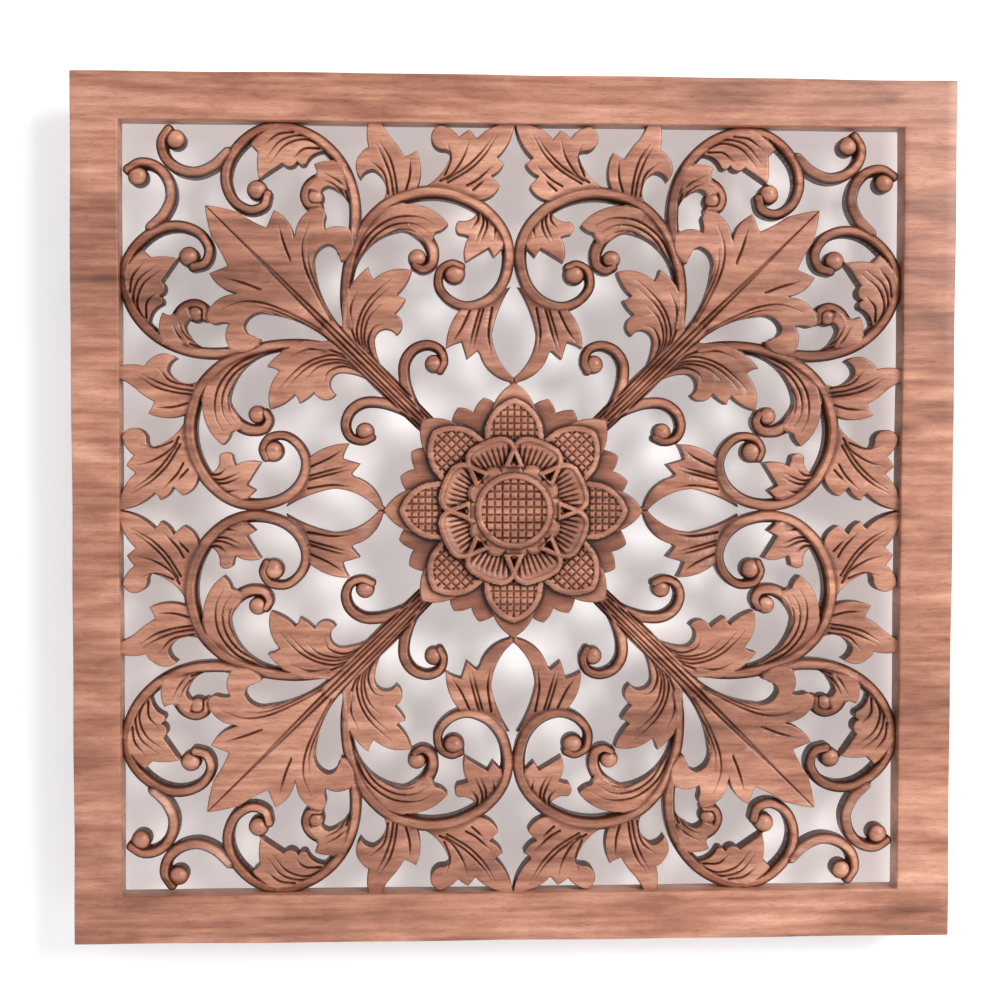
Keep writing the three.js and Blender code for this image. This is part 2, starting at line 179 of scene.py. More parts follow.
# V-shaped cuts: past the share `full` of its way a cut loses `fade` of its depth, and narrows with it,
# but never below `least` of its half-width.
VEIN = dict(depth=2.0, half=1.05, full=0.5, fade=0.8, least=0.5)
FLUTE = dict(depth=2.4, half=1.3, full=0.45, fade=0.85, least=0.45)
CUT_STEPS = 5       # straight steps between two points of a cut

# The lotus, in heights above the back
LOTUS_BED = 8.0
LOTUS_BED_RADIUS = 66.0
HEART_BED = 12.2
HEART_RADIUS = 30.0
DISC_RADIUS = 25.0
DISC_TOP = 19.6
DISC_FIELD = 18.2
DISC_HATCH = 5.3
PETAL_HATCH = 4.6
HATCH_HALF = 1.0
RIB_DEGREES = 5.0
SMALL_PETAL = [(-8, 50, 0), (8, 50, 0), (10.5, 68, .12), (1.5, 80.3, .1), (-9, 70, 0)]
BIG_PETAL = [(-16, 50, 0), (16, 50, 0), (15.5, 66, .12), (0, 88, .12), (-15.5, 66, 0)]
HATCHED_PETAL = [(-20, 42, 0), (20, 42, 0), (18.5, 58, .13), (0, 76.5, .13), (-18.5, 58, 0)]
CUP_PETAL = [(-17, 26, 0), (17, 26, 0), (17.2, 41.5, .16), (9.5, 50.2, .04), (-9.5, 50.2, .16),
             (-17.2, 41.5, 0)]
SCALLOP = [(-7, 20, 0), (7, 20, 0), (7.4, 27, .42), (-7.4, 27, 0)]


# ---------------------------------------------------------------- curves in the plane of the board

def smooth_line(points, per_span=6):
    """A centripetal Catmull-Rom curve through the points."""
    p = np.array(points, float)
    p = np.vstack([2 * p[0] - p[1], p, 2 * p[-1] - p[-2]])
    out = []
    for a, b, c, d in zip(p, p[1:], p[2:], p[3:]):
        t1 = np.linalg.norm(b - a) ** 0.5
        t2 = t1 + np.linalg.norm(c - b) ** 0.5
        t3 = t2 + np.linalg.norm(d - c) ** 0.5
        for t in t1 + (t2 - t1) * np.arange(per_span) / per_span:
            ab = ((t1 - t) * a + t * b) / t1
            bc = ((t2 - t) * b + (t - t1) * c) / (t2 - t1)
            cd = ((t3 - t) * c + (t - t2) * d) / (t3 - t2)
            abc = ((t2 - t) * ab + t * bc) / t2
            bcd = ((t3 - t) * bc + (t - t1) * cd) / (t3 - t1)
            out.append(((t2 - t) * abc + (t - t1) * bcd) / (t2 - t1))
    return np.array(out + [p[-2]])


def bowed_outline(corners, spacing=2.0):
    """The closed outline through corners (x, z, bow), each edge bowed to the right of the way."""
    out = []
    for (x0, z0, bow), (x1, z1, _) in zip(corners, corners[1:] + corners[:1]):
        start, chord = np.array((x0, z0), float), np.array((x1 - x0, z1 - z0), float)
        length = np.linalg.norm(chord)
        if bow == 0:
            out.append(start)
            continue
        turn = 4 * math.atan(2 * abs(bow))
        radius = length / (2 * math.sin(turn / 2))
        outward = np.array((chord[1], -chord[0])) / length * math.copysign(1, bow)
        steps = max(2, math.ceil(radius * turn / spacing))
        angles = turn * np.arange(steps) / steps - turn / 2
        across = radius * np.sin(angles) + length / 2
        out += list(start + np.outer(across, chord / length)
                    + np.outer(radius * (np.cos(angles) - math.cos(turn / 2)), outward))
    return np.array(out)


def nearest_on(line, x, z):
    """For every sample: its distance from the line, the share of the way along and the side it is on."""
    steps = np.linalg.norm(np.diff(line, axis=0), axis=1)
    along = np.r_[0, np.cumsum(steps)] / steps.sum()
    best = np.full(x.shape, FAR)
    share = np.zeros(x.shape)
    side = np.ones(x.shape)
    for a, b, s0, s1 in zip(line, line[1:], along, along[1:]):
        d = b - a
        px, pz = x - a[0], z - a[1]
        t = np.clip((px * d[0] + pz * d[1]) / (d @ d), 0, 1)
        away = (px - t * d[0]) ** 2 + (pz - t * d[1]) ** 2
        closer = away < best
        best = np.where(closer, away, best)
        share = np.where(closer, s0 + (s1 - s0) * t, share)
        side = np.where(closer, np.where(d[0] * pz - d[1] * px >= 0, 1.0, -1.0), side)
    return np.sqrt(best), share, side


def within(outline, x, z):
    """Distance inside a closed outline, negative outside it."""
    closed = np.vstack([outline, outline[:1]])
    away = np.full(x.shape, FAR)
    inside = np.zeros(x.shape, bool)
    for a, b in zip(closed, closed[1:]):
        d = b - a
        px, pz = x - a[0], z - a[1]
        t = np.clip((px * d[0] + pz * d[1]) / max(d @ d, 1e-9), 0, 1)
        away = np.minimum(away, (px - t * d[0]) ** 2 + (pz - t * d[1]) ** 2)
        if a[1] != b[1]:
            inside ^= ((z < a[1]) != (z < b[1])) & (px < d[0] * pz / d[1])
    return np.where(inside, 1, -1) * np.sqrt(away)


def ease(low, high, value):
    """0 at or below low, 1 at or above high, and smooth between."""
    t = np.clip((value - low) / (high - low), 0, 1)
    return t * t * (3 - 2 * t)


def rounded(inside, radius):
    """How far an edge rounded over to that radius drops, by the distance inside it."""
    rim = np.clip(1 - inside / radius, 0, 1)
    return radius * (1 - np.sqrt(1 - rim ** 2))


def vee_cut(points, x, z, depth, half, full, fade, least):
    """Depth of a V-shaped cut along a smooth line through the points."""
    away, share, _ = nearest_on(smooth_line(points, CUT_STEPS), x, z)
    strength = 1 - ease(full, 1, share) * fade
    return depth * strength * np.clip(1 - away / (half * (least + (1 - least) * strength)), 0, 1)


# ---------------------------------------------------------------- the relief, sampled over a square

class Relief:
    """Heights above the flat back, and the distance inside the outline, over a square of samples."""

    def __init__(self, low, high):
        self.low = low
        count = round((high - low) / RASTER) + 1
        self.height = np.zeros((count, count))
        self.inside = np.full((count, count), -9.0)

    def window(self, points, margin):
        """The part of the square round some points, with the x and z of its samples."""
        lo = np.floor((points.min(0) - margin - self.low) / RASTER).astype(int).clip(0)
        hi = np.ceil((points.max(0) + margin - self.low) / RASTER).astype(int) + 1
        part = (slice(lo[0], hi[0]), slice(lo[1], hi[1]))
        shape = self.height[part].shape
        x = self.low + (lo[0] + np.arange(shape[0])) * RASTER
        z = self.low + (lo[1] + np.arange(shape[1])) * RASTER
        return part, *np.meshgrid(x, z, indexing="ij")

    def lay(self, part, height, inside):
        """Adds a form: the higher of two tops shows."""
        over = (inside > -EDGE) & (height > self.height[part])
        self.height[part] = np.where(over, height, self.height[part])
        self.inside[part] = np.maximum(self.inside[part], inside)


def stem(relief, points, widths, lean, ball, top=STEM_TOP):
    """A stem with its ridge to one side, or a trunk rounded over where lean is 0."""
    line = smooth_line(points)
    part, x, z = relief.window(line, max(widths))
    away, share, side = nearest_on(line, x, z)
    half = np.interp(share, (0, 0.5, 1), widths) / 2
    across = np.clip(away * side / half, -1, 1)
    if lean == 0:
        height = top - TRUNK_DROP * np.abs(across) ** 2.4
    else:
        across = across * lean
        outer = np.clip((RIDGE_LEAN - across) / (1 + RIDGE_LEAN), 0, 1)
        inner = np.clip((across - RIDGE_LEAN) / (1 - RIDGE_LEAN), 0, 1)
        bead = BEAD * np.exp(-(((across - RIDGE_LEAN) * half / BEAD_WIDTH) ** 2))
        height = top - STEM_OUTER_DROP * outer ** 1.5 - STEM_INNER_DROP * inner ** 0.8 + bead
    relief.lay(part, height, half - away)
    if ball:
        centre = np.array([ball[:2]])
        part, x, z = relief.window(centre, ball[2] + 2)
        away = np.hypot(x - ball[0], z - ball[1])
        dome = BALL_TOP - ball[2] * (1 - np.sqrt(np.clip(1 - (away / ball[2]) ** 2, 0, 1)))
        relief.lay(part, dome, ball[2] - away)


def leaf(relief, corners, root, tip, veins):
    """A leaf that rises from root to tip, with a rounded edge and veins."""
    outline = bowed_outline(corners)
    part, x, z = relief.window(outline, 3)
    inside = within(outline, x, z)
    way = np.array(tip, float) - root
    share = ((x - root[0]) * way[0] + (z - root[1]) * way[1]) / (way @ way)
    height = LEAF_ROOT + (LEAF_TIP - LEAF_ROOT) * ease(*LEAF_RISE, share)
    height -= rounded(inside, LEAF_ROUND)
    for vein in veins:
        height -= vee_cut(vein, x, z, **VEIN)
    relief.lay(part, height, inside)


def carve_eighth():
    """The leaves, then the stems that cross over them."""
    relief = Relief(-PAST_AXIS * RASTER, EXTENT)
    for one in LEAVES:
        leaf(relief, *one)
    for one in STEMS:
        stem(relief, *one)
    stem(relief, *TRUNK, top=TRUNK_TOP)
    return relief


def carve_quarter():
    """One quarter of the pattern, from the eighth and its mirror images across the axes and diagonal."""
    eighth = carve_eighth()
    quarter = Relief(0.0, EXTENT)
    size = quarter.height.shape[0]
    up = slice(PAST_AXIS, PAST_AXIS + size)
    for along in (up, slice(PAST_AXIS, None, -1)):
        height, inside = eighth.height[along, up], eighth.inside[along, up]
        part = tuple(slice(0, n) for n in height.shape)
        quarter.lay(part, height, inside)
        quarter.lay(part[::-1], height.T, inside.T)
    for line in FLUTES:
        for points in (line, [(z, x) for x, z in line]):
            part, x, z = quarter.window(smooth_line(points, CUT_STEPS), FLUTE["half"])
            quarter.height[part] -= vee_cut(points, x, z, **FLUTE)
    x = np.arange(size) * RASTER
    quarter.height -= LOTUS_DIP * (1 - ease(*DIP_RADII, np.hypot(x[:, None], x[None, :])))
    return quarter


# ---------------------------------------------------------------- the lotus

def ring_petal(relief, corners, turn, top_of):
    """Lays one petal whose outline is drawn pointing up, turned about the centre."""
    c, s = math.cos(math.radians(turn)), math.sin(math.radians(turn))
    outline = bowed_outline(corners)
    turned = outline @ np.array([[c, s], [-s, c]])
    part, x, z = relief.window(turned, 3)
    ux, uz = x * c + z * s, -x * s + z * c
    inside = within(outline, ux, uz)
    relief.lay(part, top_of(ux, uz, inside), inside)


def hatched(x, z, pitch):
    """Depth of a square cross-hatch of V cuts, from 0 to 1."""
    fx = np.abs((x / pitch + 0.5) % 1 - 0.5) * pitch
    fz = np.abs((z / pitch + 0.5) % 1 - 0.5) * pitch
    return np.maximum(np.clip(1 - fx / HATCH_HALF, 0, 1), np.clip(1 - fz / HATCH_HALF, 0, 1))


def small_top(x, z, inside):
    """A plain petal that rises a little to its tip."""
    return 9.6 + 0.07 * (z - 60) - rounded(inside, 1.0)


def big_top(x, z, inside):
    """A plain petal, higher and flatter."""
    return 11.4 + 0.03 * (z - 60) - rounded(inside, 1.2)


def hatched_top(x, z, inside):
    """A raised border round a sunk, cross-hatched field."""
    tip = 14.6 + 0.02 * (z - 60)
    field = tip - 0.9 - 1.3 * hatched(x, z - 60, PETAL_HATCH)
    return np.where(inside < 2.6, tip - rounded(inside, 0.9), tip + (field - tip) * ease(2.6, 3.3, inside))


def cup_top(x, z, inside):
    """A ribbed bowl inside a raised lip."""
    radius = np.hypot(x, z)
    bowl = 12.6 + 4.6 * ease(30, 50, radius)
    rib = np.abs((np.degrees(np.arctan2(x, z)) / RIB_DEGREES) % 1 - 0.5) * 2
    ribs = 1.6 * np.clip(1 - rib / 0.55, 0, 1) * ease(30, 34, radius) * (1 - ease(42, 47.5, radius))
    lip = 1 - ease(1.9, 2.9, inside)
    return (bowl - ribs) * (1 - lip) + (18.2 - rounded(inside, 1.0)) * lip


def scallop_top(x, z, inside):
    """A plain scallop that falls away from the disc."""
    return 16.8 - 0.1 * (z - 24) - rounded(inside, 1.6)


def carve_lotus():
    """The lotus, from its outermost petals to the disc at its heart."""
    relief = Relief(-LOTUS_EXTENT, LOTUS_EXTENT)
    part, x, z = relief.window(np.array([(-LOTUS_EXTENT,) * 2, (LOTUS_EXTENT,) * 2]), 0)
    relief.lay(part, np.full(x.shape, LOTUS_BED), LOTUS_BED_RADIUS - np.hypot(x, z))
    turns = [45 * k for k in range(8)]
    for turn in turns:
        for sign in (-1, 1):
            ring_petal(relief, SMALL_PETAL, turn + sign * 15.8, small_top)
    for turn in turns:
        ring_petal(relief, BIG_PETAL, turn, big_top)
    for turn in turns:
        ring_petal(relief, HATCHED_PETAL, turn, hatched_top)
    for turn in turns:
        ring_petal(relief, CUP_PETAL, turn + 22.5, cup_top)
    part, x, z = relief.window(np.array([(-HEART_RADIUS,) * 2, (HEART_RADIUS,) * 2]), 6)
    radius = np.hypot(x, z)
    relief.height[part] = np.where(radius < HEART_RADIUS, HEART_BED, relief.height[part])
    for k in range(12):
        ring_petal(relief, SCALLOP, 30 * k + 3, scallop_top)
    rim = DISC_RADIUS - radius
    border = DISC_TOP - rounded(rim, 1.4) - 2.0 * np.clip(1 - np.abs(rim - 3.4) / 0.9, 0, 1)
    field = DISC_FIELD - 1.5 * hatched(x + DISC_HATCH / 2, z + DISC_HATCH / 2, DISC_HATCH)
    relief.lay(part, np.where(rim > 3.2, field, border), rim)
    return relief


# ---------------------------------------------------------------- from relief to a closed mesh

def sample(field, low, x, z):
    """The field at any x and z, between its samples."""
    u = np.clip((x - low) / RASTER, 0, field.shape[0] - 1.001)
    v = np.clip((z - low) / RASTER, 0, field.shape[1] - 1.001)
    i, j = u.astype(int), v.astype(int)
    fu, fv = u - i, v - j
    return ((field[i, j] * (1 - fu) + field[i + 1, j] * fu) * (1 - fv)
            + (field[i, j + 1] * (1 - fu) + field[i + 1, j + 1] * fu) * fv)


def soften(field, weight, reach):
    """A weighted local mean, by two passes of a moving average each way."""
    def blur(a):
        half = round(reach / RASTER)
        for axis in (0, 1):
            for _ in range(2):
                padded = np.pad(a, [(half + 1, half) if k == axis else (0, 0) for k in (0, 1)], "edge")
                total = np.cumsum(padded, axis=axis)
                size = 2 * half + 1
                a = (np.take(total, range(size, total.shape[axis]), axis)
                     - np.take(total, range(0, total.shape[axis] - size), axis)) / size
        return a
    return blur(field * weight) / np.maximum(blur(weight), 1e-3)


def wax_and_shade_of(relief):
    """How far each sample lies below its surroundings, from 0 to 1, for the dark wax and the painted shade
    in hollows.
    """
    solid = (relief.inside > -WAX_AND_SHADE_RIM).astype(float)
    wax_and_shade = np.zeros(relief.height.shape)
    for reach, full, strength in WAX_AND_SHADE_HOLLOWS:
        # Painted shade: hollows get darker than their surroundings, together with the dark wax that gathers
        # there.
        drop = soften(relief.height, solid, reach) - relief.height
        wax_and_shade += np.clip(drop / full, 0, 1) * strength
    return wax_and_shade


def mesh_of(relief, span):
    """Triangles over the part of a grid inside the outline, cut exactly where the outline crosses."""
    count = round((span[1] - span[0]) / CELL)
    gx, gz = np.meshgrid(*[np.linspace(*span, count + 1)] * 2, indexing="ij")
    px, pz = gx.ravel(), gz.ravel()
    inside = sample(relief.inside, relief.low, px, pz)
    inside = np.where(np.abs(inside) < 1e-6, 1e-6, inside)
    index = np.arange(px.size).reshape(gx.shape)
    a, b, c, d = (index[:-1, :-1].ravel(), index[1:, :-1].ravel(),
                  index[1:, 1:].ravel(), index[:-1, 1:].ravel())
    odd = (np.add.outer(np.arange(count), np.arange(count)) % 2 == 1).ravel()[:, None]
    one = np.where(odd, np.c_[a, b, d], np.c_[a, b, c])
    two = np.where(odd, np.c_[b, c, d], np.c_[a, c, d])
    tris = np.vstack([one, two])
    signs = inside[tris] > 0
    held = signs.sum(1)

    def cross(p, q):
        """The crossing on each edge p to q, as a negative key that does not mind the direction."""
        return -1 - (np.minimum(p, q) * np.int64(px.size) + np.maximum(p, q))

    cut_faces = []
    for corners_inside in (1, 2):
        some = tris[held == corners_inside]
        lone = (signs[held == corners_inside] == (corners_inside == 1)).argmax(1)
        rows = np.arange(len(some))
        p, q, s = (some[rows, (lone + k) % 3] for k in range(3))
        pq, ps = cross(p, q), cross(p, s)
        if corners_inside == 1:
            cut_faces.append(np.c_[p, pq, ps])
        else:
            cut_faces.append(np.c_[q, s, ps])
            cut_faces.append(np.c_[q, ps, pq])
    cut_faces = np.vstack(cut_faces)
    keys, which = np.unique(cut_faces[cut_faces < 0], return_inverse=True)
    lo, hi = np.divmod(-1 - keys, px.size)
    share = np.clip(inside[lo] / (inside[lo] - inside[hi]), NEAREST, 1 - NEAREST)
    cx = px[lo] + (px[hi] - px[lo]) * share
    cz = pz[lo] + (pz[hi] - pz[lo]) * share
    cut_faces[cut_faces < 0] = px.size + which
    used, faces = np.unique(np.vstack([tris[held == 3], cut_faces]), return_inverse=True)
    return np.r_[px, cx][used], np.r_[pz, cz][used], faces.reshape(-1, 3)


def closed_solid(name, relief, span, place):
    """A closed mesh: the carved face, upright walls round every outline and a flat back."""
    x, z, faces = mesh_of(relief, span)
    y = -sample(relief.height, relief.low, x, z)
    edges = np.vstack([faces[:, [0, 1]], faces[:, [1, 2]], faces[:, [2, 0]]])
    keys = edges[:, 0] * np.int64(len(x)) + edges[:, 1]
    twins = edges[:, 1] * np.int64(len(x)) + edges[:, 0]
    rim = edges[~np.isin(keys, twins)]
    ring = np.unique(rim)
    number = np.full(len(x), -1)
    number[ring] = np.arange(len(ring))
    flat = [Vector((x[i], z[i])) for i in ring]
    loops = [tuple(number[e]) for e in rim.tolist()]
    corners, _, tris, origins, *_ = geometry.delaunay_2d_cdt(flat, loops, [], 0, 1e-7)
    spots = np.array(corners)[np.array(tris)].mean(1)
    tris = np.array(tris)[sample(relief.inside, relief.low, spots[:, 0], spots[:, 1]) > 0]
    bottom = len(x) + np.array([o[0] if o else -1 for o in origins])[tris]
    p, q = rim.T
    p_back, q_back = len(x) + number[p], len(x) + number[q]
    walls = np.vstack([np.c_[q, p, p_back], np.c_[q, p_back, q_back]])
    verts = np.c_[np.r_[x, x[ring]], np.r_[y, np.zeros(len(ring))], np.r_[z, z[ring]]]
    verts[:, 0], verts[:, 2] = place(verts[:, 0], verts[:, 2])
    mesh = bpy.data.meshes.new(name)
    mesh.from_pydata((verts * MM).tolist(), [], np.vstack([faces, walls, bottom[:, ::-1]]).tolist())
    mesh.update()
    piece = bpy.data.objects.new(name, mesh)
    bpy.context.collection.objects.link(piece)
    return piece


def only(piece):
    """Selects this piece alone."""
    bpy.ops.object.select_all(action="DESELECT")
    piece.select_set(True)
    bpy.context.view_layer.objects.active = piece


def points_of(piece):
    """The piece's vertices, one to a row, in metres."""
    points = np.empty(len(piece.data.vertices) * 3)
    piece.data.vertices.foreach_get("co", points)
    return points.reshape(-1, 3)


def belongs(piece, material):
    """Says what the piece is part of and gives it its wood."""
    piece.data.materials.append(material)
    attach(piece, "root")
    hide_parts("panel")


def finish_carved(piece, relief, unplace, material):
    """Turns the faces outwards, thins the mesh, rounds its shading and marks where dark wax and painted
    shade darken the wood.
    """
    only(piece)
    bpy.ops.object.mode_set(mode="EDIT")
    bpy.ops.mesh.select_all(action="SELECT")
    bpy.ops.mesh.normals_make_consistent(inside=False)
    bpy.ops.object.mode_set(mode="OBJECT")
    count = len(piece.data.polygons)
    if count > MOST_FACES:
        thin = piece.modifiers.new("thin", "DECIMATE")
        thin.ratio = MOST_FACES / count
        bpy.ops.object.modifier_apply(modifier="thin")
    bpy.ops.object.shade_smooth_by_angle(angle=CREASE)
    points = points_of(piece) / MM
    u, v = unplace(points[:, 0], points[:, 2])
    # Painted shade with the dark wax: darker in hollows that lie below their surroundings.
    wax_and_shade = sample(wax_and_shade_of(relief), relief.low, u, v)
    # Painted shade with the dark wax: darker the lower a point lies, so down the walls towards the back.
    deep = np.clip((WAX_AND_SHADE_FROM + points[:, 1]) / WAX_AND_SHADE_OVER, 0, 1)
    field = piece.data.attributes.new("wax_and_shade", "FLOAT", "POINT")
    field.data.foreach_set("value", np.clip(wax_and_shade + deep, 0, 1).astype(np.float32))
    belongs(piece, material)


# ---------------------------------------------------------------- the wood

def node(tree, kind, **inputs):
    """A node with its settings and unlinked inputs set by name."""
    made = tree.nodes.new(kind)
    for key, value in inputs.items():
        if hasattr(made, key):
            setattr(made, key, value)
        else:
            made.inputs[key.replace("_", " ")].default_value = value
    return made


def wood(name):
    """Reddish hardwood with its grain along X, satin wax, and dark wax with painted shade where its point
    attribute says.
    """
    material = bpy.data.materials.new(name)
    material.use_nodes = True
    tree = material.node_tree
    link = tree.links.new
    shader = tree.nodes["Principled BSDF"]
    where = node(tree, "ShaderNodeTexCoord")

    def grain(scale, turn=0.0, detail=4.0, rough=0.55, distort=0.0):
        mapping = node(tree, "ShaderNodeMapping")
        mapping.inputs["Scale"].default_value = scale
        mapping.inputs["Rotation"].default_value = (0, math.radians(turn), 0)
        noise = node(tree, "ShaderNodeTexNoise", Scale=1.0, Detail=detail, Roughness=rough,
                     Distortion=distort)
        link(where.outputs["Object"], mapping.inputs["Vector"])
        link(mapping.outputs["Vector"], noise.inputs["Vector"])
        return noise.outputs["Fac"]

    def ramp(value, stops):
        made = node(tree, "ShaderNodeValToRGB")
        elements = made.color_ramp.elements
        elements[0].position, elements[0].color = stops[0][0], (*stops[0][1], 1)
        elements[1].position, elements[1].color = stops[-1][0], (*stops[-1][1], 1)
        for position, colour in stops[1:-1]:
            elements.new(position).color = (*colour, 1)
        link(value, made.inputs["Fac"])
        return made.outputs["Color"]

    def mix(kind, factor, a, b):
        made = node(tree, "ShaderNodeMix", data_type="RGBA", blend_type=kind)
        for socket, value in ((made.inputs[0], factor), (made.inputs[6], a), (made.inputs[7], b)):
            if hasattr(value, "is_linked"):
                link(value, socket)
            else:
                socket.default_value = value
        return made.outputs[2]

    broad = grain((3.2, 3.2, 16), turn=8, detail=5, distort=0.8)
    fine = grain((14, 60, 210), turn=2, detail=5)
    figure = grain((26, 26, 80), turn=-38, detail=3, distort=0.4)
    pores = grain((150, 500, 1400), detail=2, rough=0.7)
    colour = ramp(broad, [(0.30, (0.215, 0.082, 0.048)), (0.5, (0.38, 0.162, 0.101)),
                          (0.70, (0.515, 0.247, 0.163))])
    colour = mix("SOFT_LIGHT", 0.8, colour, ramp(fine, [(0.3, (0.2,) * 3), (0.7, (0.8,) * 3)]))
    colour = mix("SOFT_LIGHT", 0.6, colour, ramp(figure, [(0.32, (0.25,) * 3), (0.68, (0.78,) * 3)]))
    colour = mix("MULTIPLY", 0.5, colour, ramp(pores, [(0.33, (0.45, 0.36, 0.34)), (0.47, (1,) * 3)]))
    wax_and_shade = node(tree, "ShaderNodeAttribute")
    wax_and_shade.attribute_name = "wax_and_shade"
    facing = node(tree, "ShaderNodeSeparateXYZ")
    link(where.outputs["Normal"], facing.inputs[0])
    front = node(tree, "ShaderNodeMath", operation="LESS_THAN")
    link(facing.outputs["Y"], front.inputs[0])
    front.inputs[1].default_value = 0.7
    front_wax_and_shade = node(tree, "ShaderNodeMath", operation="MULTIPLY")
    link(wax_and_shade.outputs["Fac"], front_wax_and_shade.inputs[0])
    link(front.outputs[0], front_wax_and_shade.inputs[1])
    # Painted shade with the dark wax: the wood turns towards a deep brown as the attribute rises, on all but
    # the back faces.
    dark = ramp(front_wax_and_shade.outputs[0], [(0.03, (1,) * 3), (0.3, (0.50, 0.38, 0.33)),
                                   (0.9, (0.13, 0.08, 0.065))])
    colour = mix("MULTIPLY", 1.0, colour, dark)
    link(colour, shader.inputs["Base Color"])
    rough = node(tree, "ShaderNodeMapRange")
    rough.inputs["To Min"].default_value = 0.30
    rough.inputs["To Max"].default_value = 0.50
    link(fine, rough.inputs["Value"])
    link(rough.outputs["Result"], shader.inputs["Roughness"])
    bump = node(tree, "ShaderNodeBump", Strength=0.25, Distance=0.0006)
    link(fine, bump.inputs["Height"])
    link(bump.outputs["Normal"], shader.inputs["Normal"])
    shader.inputs["Specular IOR Level"].default_value = 0.5
    return material


# ---------------------------------------------------------------- the frame

SEGMENT = 8.0
LEAST_SEGMENT = 2.5
ROUND_OVER = 0.9


def ripple(seed, s, size):
    """A slow, uneven wander along an edge, between 0 and size."""
    rng = np.random.default_rng(seed)
    total = sum(np.sin(s / length + rng.uniform(0, 6.3)) for length in (18, 41, 77))
    return size * (total / 3 * 0.5 + 0.5)


def build_frame(material):
    """A board cut through for the opening, its edges wandering a little and rounded over."""
    bpy.ops.object.select_all(action="DESELECT")
    middle = [(a + b) / 2 * MM for a, b in zip(LOW, HIGH)]
    bpy.ops.mesh.primitive_cube_add(size=1, location=middle)
    piece = bpy.context.object
    piece.name = piece.data.name = "frame"
    piece.scale = [(b - a) * MM for a, b in zip(LOW, HIGH)]
    bpy.ops.object.transform_apply(location=True, rotation=True, scale=True)
    sides = [(OPENING[0], 0), (OPENING[2], 0), (OPENING[1], 2), (OPENING[3], 2)]
    planes = sides + [(x, 0) for x in np.arange(LOW[0] + SEGMENT, HIGH[0], SEGMENT)]
    planes += [(z, 2) for z in np.arange(LOW[2] + SEGMENT, HIGH[2], SEGMENT)]
    bpy.ops.object.mode_set(mode="EDIT")
    for at, axis in planes:
        if min((abs(at - p) for p, a in sides if a == axis and p != at), default=FAR) < LEAST_SEGMENT:
            continue
        bpy.ops.mesh.select_all(action="SELECT")
        normal = (axis == 0, 0, axis == 2)
        bpy.ops.mesh.bisect(plane_co=[at * MM * n for n in normal], plane_no=normal)
    bpy.ops.mesh.select_mode(type="FACE")
    bpy.ops.mesh.select_all(action="DESELECT")
    bpy.ops.object.mode_set(mode="OBJECT")
    for face in piece.data.polygons:
        c = face.center / MM
        face.select = OPENING[0] < c.x < OPENING[2] and OPENING[1] < c.z < OPENING[3]
    bpy.ops.object.mode_set(mode="EDIT")
    bpy.ops.mesh.delete(type="FACE")
    bpy.ops.mesh.select_mode(type="EDGE")
    bpy.ops.mesh.select_non_manifold(extend=False)
    bpy.ops.mesh.bridge_edge_loops()
    bpy.ops.mesh.select_all(action="SELECT")
    bpy.ops.mesh.normals_make_consistent(inside=False)
    bpy.ops.object.mode_set(mode="OBJECT")
    points = points_of(piece)
    x, z = points[:, 0] / MM, points[:, 2] / MM
    # Each edge: where it is, the axis it moves on, which way is into the wood or out, and how far
    moves = [(x, LOW[0], 0, 1, z, 0.9), (x, HIGH[0], 0, -1, z, 0.9),
             (z, LOW[2], 2, 1, x, 0.8), (z, HIGH[2], 2, -1, x, 1.0),
             (x, OPENING[0], 0, -1, z, 0.8), (x, OPENING[2], 0, 1, z, 0.8),
             (z, OPENING[1], 2, -1, x, 0.6), (z, OPENING[3], 2, 1, x, 0.6)]
    shift = np.zeros_like(points)
    for seed, (across, at, axis, sign, along, size) in enumerate(moves):
        which = np.abs(across - at) < 0.1
        shift[which, axis] += sign * ripple(seed, along[which], size) * MM
    piece.data.vertices.foreach_set("co", (points + shift).ravel())
    piece.data.update()
    round_over = piece.modifiers.new("round over", "BEVEL")
    round_over.width = ROUND_OVER * MM
    round_over.segments = 3
    round_over.limit_method = "ANGLE"
    round_over.angle_limit = math.radians(50)
    bpy.ops.object.modifier_apply(modifier="round over")
    bpy.ops.object.shade_smooth_by_angle(angle=CREASE)
    piece.data.attributes.new("wax_and_shade", "FLOAT", "POINT")
    belongs(piece, material)


def trim(quarter, lotus):
    """Ends the quarter just inside the frame and at the outline of the lotus."""
    x = np.arange(quarter.inside.shape[0]) * RASTER
    x, z = np.meshgrid(x, x, indexing="ij")
    quarter.inside = np.minimum(quarter.inside, REACH + TUCK - 0.02 - np.maximum(x, z))
    near = np.hypot(x, z) < LOTUS_EXTENT - 1
    under = np.where(near, sample(lotus.inside, lotus.low, x, z), -9)
    quarter.inside = np.minimum(quarter.inside, LOTUS_LAP - under)


def carve_piece(name, relief, span, sx, sz, material):
    """A carved piece, mirrored by the signs sx and sz and set in the opening."""
    piece = closed_solid(name, relief, span, lambda u, v: (CENTRE[0] + sx * u * STRETCH[0],
                                                           CENTRE[1] + sz * v * STRETCH[1]))
    finish_carved(piece, relief, lambda x, z: ((x - CENTRE[0]) / STRETCH[0] * sx,
                                               (z - CENTRE[1]) / STRETCH[1] * sz), material)


suar = wood("waxed hardwood")
build_frame(suar)
quarter = carve_quarter()
lotus = carve_lotus()
trim(quarter, lotus)
SPAN = (0.0, math.ceil((REACH + TUCK) / CELL) * CELL)
CORNERS = {"top_right": (1, 1), "top_left": (-1, 1), "bottom_right": (1, -1), "bottom_left": (-1, -1)}
for corner, signs in CORNERS.items():
    carve_piece("scrollwork_" + corner, quarter, SPAN, *signs, suar)
carve_piece("lotus", lotus, (-LOTUS_REACH, LOTUS_REACH), 1, 1, suar)

# ---------------------------------------------------------------- stage, light and camera

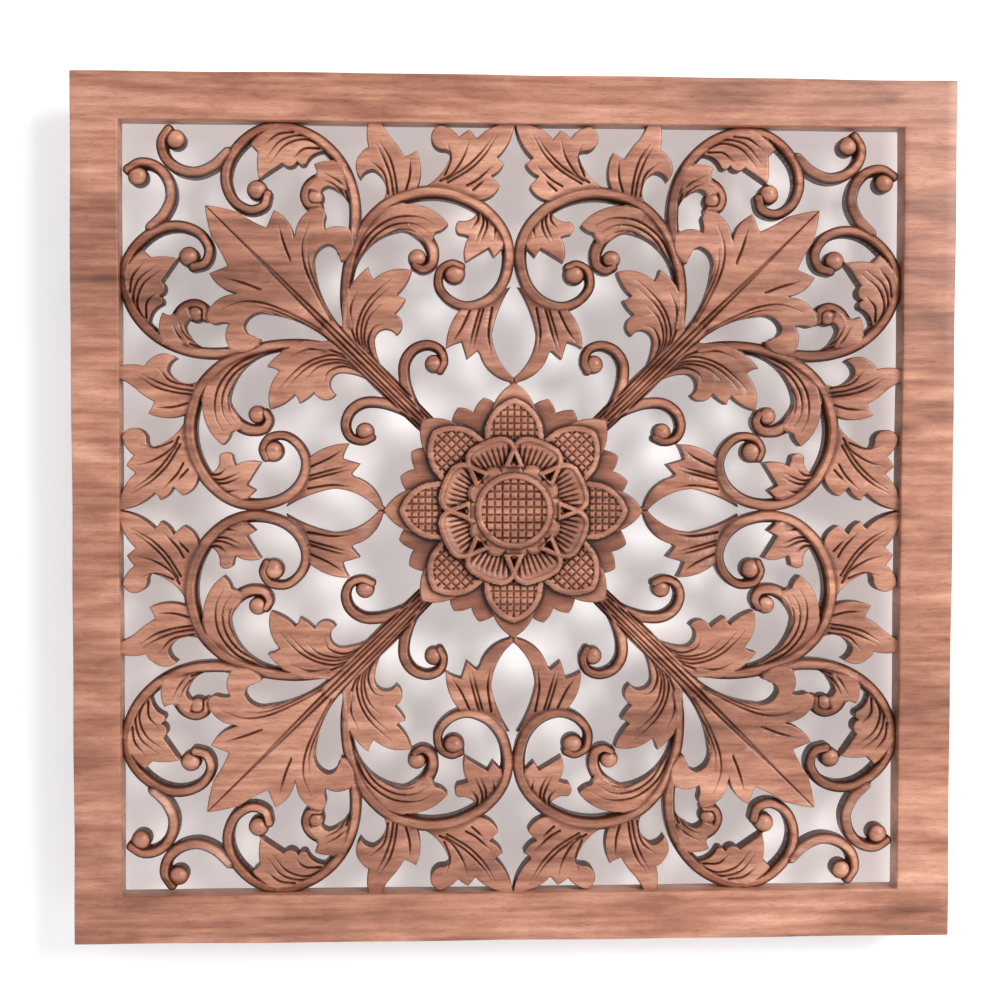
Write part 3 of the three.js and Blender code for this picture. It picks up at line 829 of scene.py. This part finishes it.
def plain(name, colour, glow=0.0, hidden_behind=False):
    """A plain matt finish; with hidden_behind it can be seen and lit from its front alone."""
    material = bpy.data.materials.new(name)
    material.use_nodes = True
    tree = material.node_tree
    shader = tree.nodes["Principled BSDF"]
    shader.inputs["Base Color"].default_value = (*colour, 1)
    shader.inputs["Roughness"].default_value = 0.9
    shader.inputs["Emission Color"].default_value = (1, 1, 1, 1)
    shader.inputs["Emission Strength"].default_value = glow
    if hidden_behind:
        clear = tree.nodes.new("ShaderNodeBsdfTransparent")
        side = tree.nodes.new("ShaderNodeNewGeometry")
        either = tree.nodes.new("ShaderNodeMixShader")
        tree.links.new(side.outputs["Backfacing"], either.inputs[0])
        tree.links.new(shader.outputs[0], either.inputs[1])
        tree.links.new(clear.outputs[0], either.inputs[2])
        tree.links.new(either.outputs[0], tree.nodes["Material Output"].inputs[0])
    return material


GAP = 0.03
bpy.ops.mesh.primitive_plane_add(size=8, location=(0, GAP, 0), rotation=(math.radians(90), 0, 0))
wall = bpy.context.object
wall.name = "wall"
wall.data.materials.append(plain("limewash", (0.80, 0.80, 0.81), 0.30, True))
bpy.ops.mesh.primitive_plane_add(size=8, location=(0, 0, -1.3))
floor = bpy.context.object
floor.name = "floor"
floor.data.materials.append(plain("pale floor", (0.72, 0.71, 0.70)))


def softbox(name, at, size, power, colour):
    """A square light aimed at the middle of the panel."""
    data = bpy.data.lights.new(name, "AREA")
    data.shape = "SQUARE"
    data.size = size
    data.energy = power
    data.color = colour
    lamp = bpy.data.objects.new(name, data)
    bpy.context.collection.objects.link(lamp)
    lamp.location = at
    target = Vector((0, 0, CENTRE[1] * MM))
    lamp.rotation_euler = (target - Vector(at)).to_track_quat("-Z", "Y").to_euler()


softbox("key", (1.7, -1.9, 0.8), 1.3, 78, (1.0, 0.98, 0.95))
softbox("fill", (-1.9, -2.2, 0.2), 1.6, 14, (0.95, 0.97, 1.0))
world = bpy.data.worlds.new("studio")
bpy.context.scene.world = world
world.use_nodes = True
world.node_tree.nodes["Background"].inputs[0].default_value = (0.93, 0.95, 1.0, 1)
world.node_tree.nodes["Background"].inputs[1].default_value = 0.55

EYE = (-0.0653, -1.1673, -0.2293)
TURN = Vector((0.0357, 0.0016, 0.0464))
SENSOR = 36
LENS = SENSOR * 1.69385
camera_data = bpy.data.cameras.new("camera")
camera_data.sensor_width = SENSOR
camera_data.lens = LENS
camera = bpy.data.objects.new("camera", camera_data)
bpy.context.collection.objects.link(camera)
right, forward, up = Matrix.Rotation(TURN.length, 3, TURN.normalized())
camera.matrix_world = Matrix.Translation(EYE) @ Matrix((right, up, -forward)).transposed().to_4x4()
bpy.context.scene.camera = camera
bpy.context.scene.view_settings.view_transform = "Standard"
